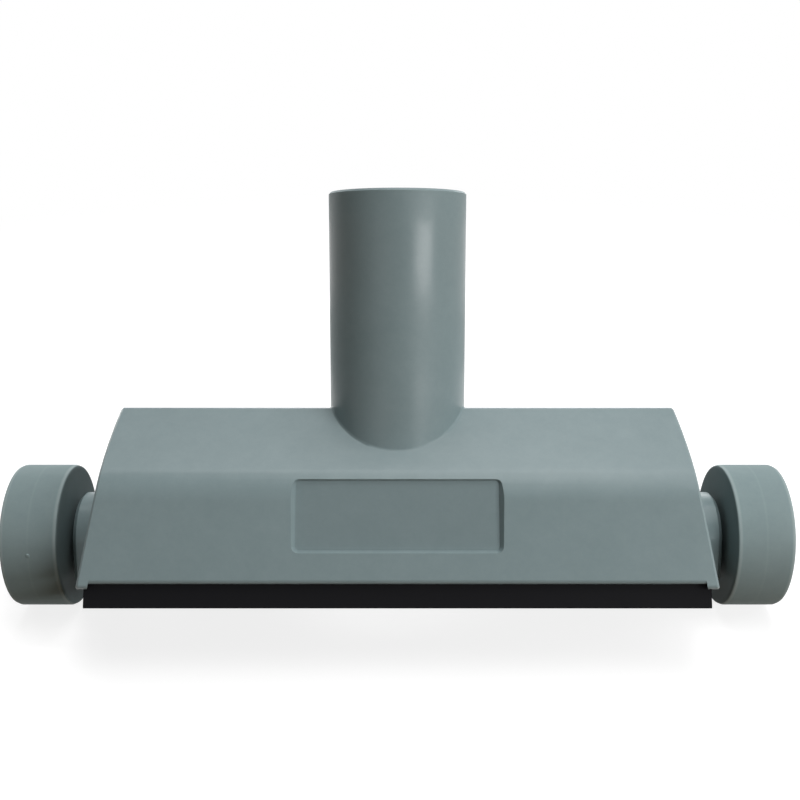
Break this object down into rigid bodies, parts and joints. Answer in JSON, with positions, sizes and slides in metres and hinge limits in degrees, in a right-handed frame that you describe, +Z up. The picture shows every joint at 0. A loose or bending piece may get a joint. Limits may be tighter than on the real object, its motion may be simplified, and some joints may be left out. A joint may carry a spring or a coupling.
{
  "type": "flat suction nozzle",
  "caption": "Flat suction nozzle for a pond vacuum: hollow grey hood with an upright pipe socket, rubber lips along its mouth and a side wheel at each end.",
  "frame": {"origin": "on the floor, under the middle of the leaning nozzle's box", "axes": "+X along the wheel axis to the right, +Y to the back, +Z up; the socket leans back with the nozzle resting on both wheels and its rear lip"},
  "size_m": [0.2288, 0.0872, 0.1248],
  "materials": {
    "body_plastic": "fine moulded satin",
    "lip_rubber": "dull black",
    "wheel_plastic": "fine moulded satin",
    "pin_plastic": "fine moulded satin"
  },
  "bodies": {
    "nozzle": {"nozzle_body": "body_plastic", "front_lip": "lip_rubber", "rear_lip": "lip_rubber", "axle_pin_left": "pin_plastic", "axle_pin_right": "pin_plastic"},
    "left_wheel": {"wheel_left": "wheel_plastic"},
    "right_wheel": {"wheel_right": "wheel_plastic"}
  },
  "joints": [
    {"name": "wheel_left_spin", "type": "hinge", "parent": "nozzle", "child": "left_wheel", "pos_m": [-0.105, -0.00475, 0.0213], "axis": [1, 0, 0], "continuous": true},
    {"name": "wheel_right_spin", "type": "hinge", "parent": "nozzle", "child": "right_wheel", "pos_m": [0.105, -0.00475, 0.0213], "axis": [1, 0, 0], "continuous": true}
  ]
}
